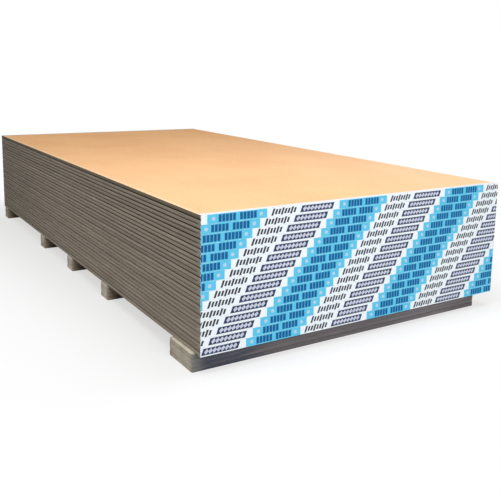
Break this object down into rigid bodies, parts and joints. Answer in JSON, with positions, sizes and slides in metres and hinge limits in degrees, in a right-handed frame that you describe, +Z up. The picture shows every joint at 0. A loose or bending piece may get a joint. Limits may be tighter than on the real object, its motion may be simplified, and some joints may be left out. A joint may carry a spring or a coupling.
{
  "type": "stack of drywall sheets",
  "caption": "Lift of tapered-edge gypsum drywall sheets in taped face-to-face pairs, lying flat on laminated gypsum spacers with fork gaps between them.",
  "frame": {"origin": "on the floor under the spacers, below the centre of the overall footprint", "axes": "+X along the sheets towards the printed end, +Y across them away from the side where the spacers stand out, +Z up"},
  "size_m": [2.4396, 1.2312, 0.4627],
  "materials": {
    "board_paper": "tan recycled back paper, matt and fibrous, with paler face paper lapped over both long edges",
    "end_tape": null,
    "gypsum_strip": "glued strips of gypsum board, chalky grey cut sides with paper lines"
  },
  "bodies": {
    "root": {"sheet_01": "board_paper", "sheet_02": "board_paper", "sheet_03": "board_paper", "sheet_04": "board_paper", "sheet_05": "board_paper", "sheet_06": "board_paper", "sheet_07": "board_paper", "sheet_08": "board_paper", "sheet_09": "board_paper", "sheet_10": "board_paper", "sheet_11": "board_paper", "sheet_12": "board_paper", "sheet_13": "board_paper", "sheet_14": "board_paper", "sheet_15": "board_paper", "sheet_16": "board_paper", "sheet_17": "board_paper", "sheet_18": "board_paper", "sheet_19": "board_paper", "sheet_20": "board_paper", "sheet_21": "board_paper", "sheet_22": "board_paper", "sheet_23": "board_paper", "sheet_24": "board_paper", "sheet_25": "board_paper", "sheet_26": "board_paper", "sheet_27": "board_paper", "sheet_28": "board_paper", "sheet_29": "board_paper", "sheet_30": "board_paper", "end_tape_01": "end_tape", "end_tape_02": "end_tape", "end_tape_03": "end_tape", "end_tape_04": "end_tape", "end_tape_05": "end_tape", "end_tape_06": "end_tape", "end_tape_07": "end_tape", "end_tape_08": "end_tape", "end_tape_09": "end_tape", "end_tape_10": "end_tape", "end_tape_11": "end_tape", "end_tape_12": "end_tape", "end_tape_13": "end_tape", "end_tape_14": "end_tape", "end_tape_15": "end_tape", "far_tapes_1": "end_tape", "far_tapes_2": "end_tape", "far_tapes_3": "end_tape", "far_tapes_4": "end_tape", "far_tapes_5": "end_tape", "spacer_1": "gypsum_strip", "spacer_2": "gypsum_strip", "spacer_3": "gypsum_strip", "spacer_4": "gypsum_strip", "spacer_5": "gypsum_strip"}
  },
  "joints": []
}
